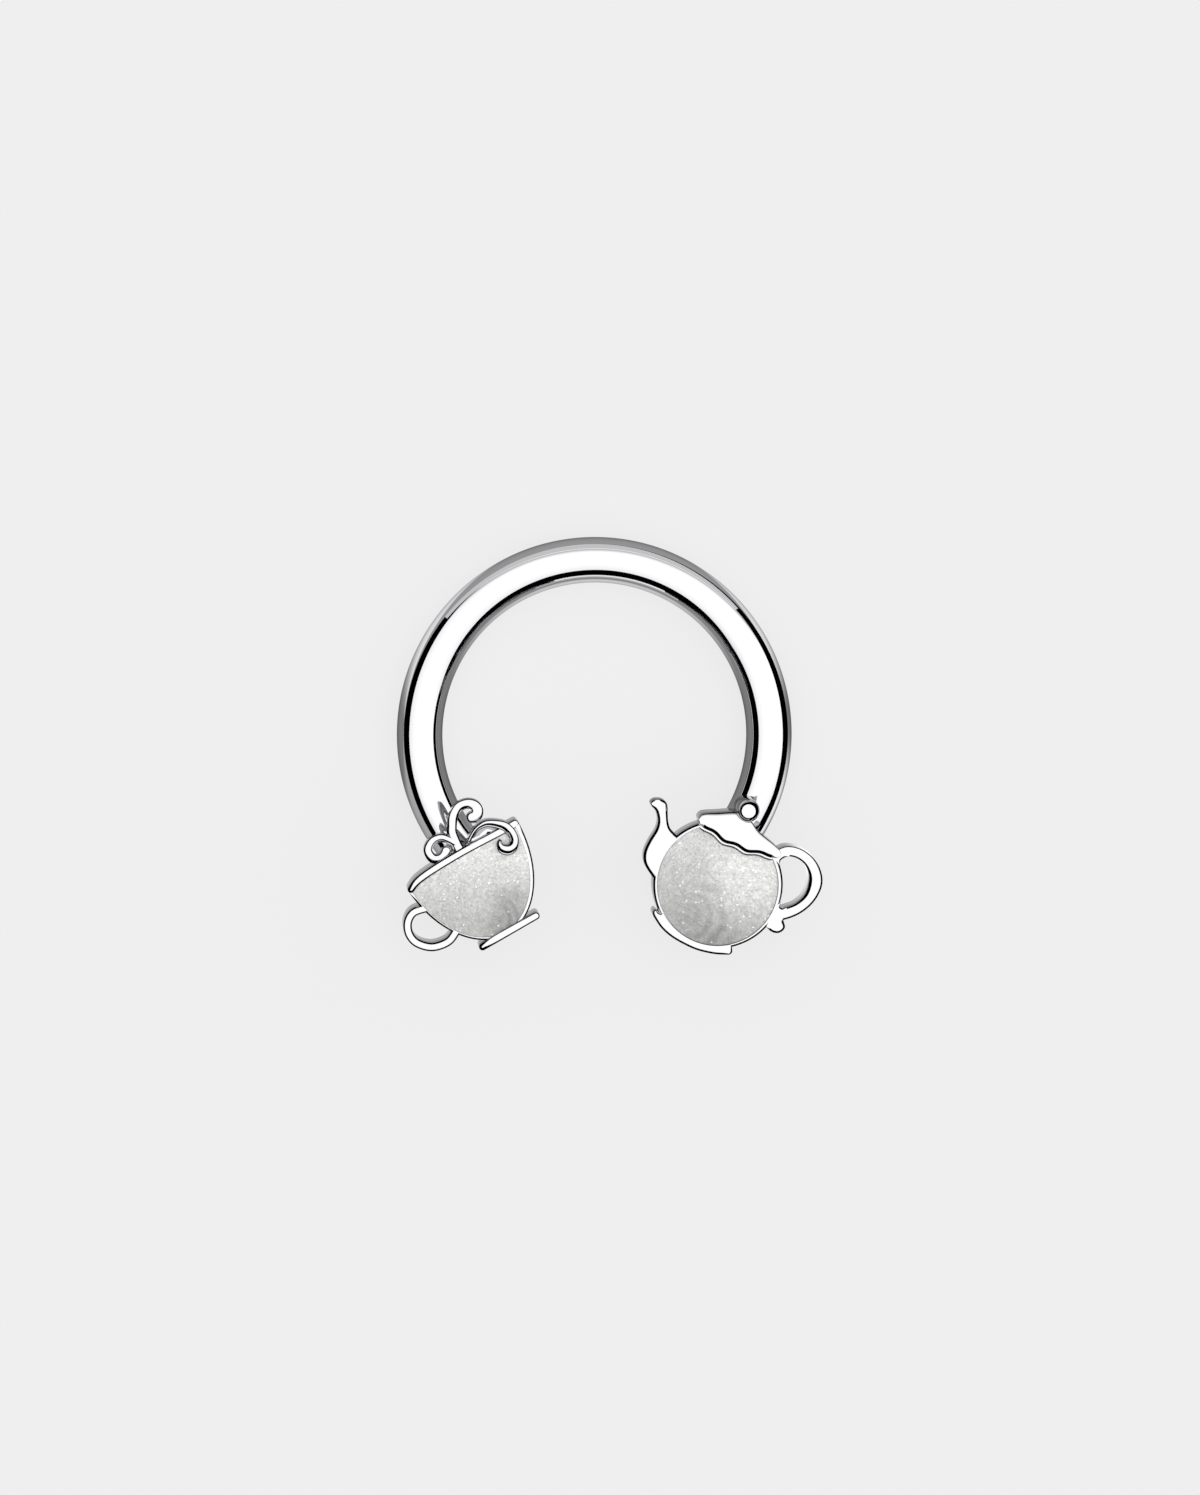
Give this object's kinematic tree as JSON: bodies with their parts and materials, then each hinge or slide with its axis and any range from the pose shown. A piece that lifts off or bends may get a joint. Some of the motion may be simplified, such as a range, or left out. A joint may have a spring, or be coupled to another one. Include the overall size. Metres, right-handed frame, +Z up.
{
  "type": "horseshoe barbell",
  "caption": "Horseshoe barbell for body piercing: an open ring of round steel bar with a cast teacup and teapot charm on its ends, each filled with pearl glitter enamel.",
  "frame": {"origin": "on the surface the jewel lies on, under the middle of its bounding box", "axes": "+X from the teacup to the teapot, +Y from the gap between the charms to the crown of the ring, +Z up out of the enamelled faces"},
  "size_m": [0.011, 0.0108, 0.0029],
  "materials": {
    "steel": "mirror-polished surgical steel",
    "pearl_enamel": "glossy pearl-white resin enamel with fine glitter"
  },
  "bodies": {
    "root": {"bar": "steel", "teapot": "steel", "teapot_enamel": "pearl_enamel", "teacup": "steel", "teacup_enamel": "pearl_enamel"}
  },
  "joints": []
}
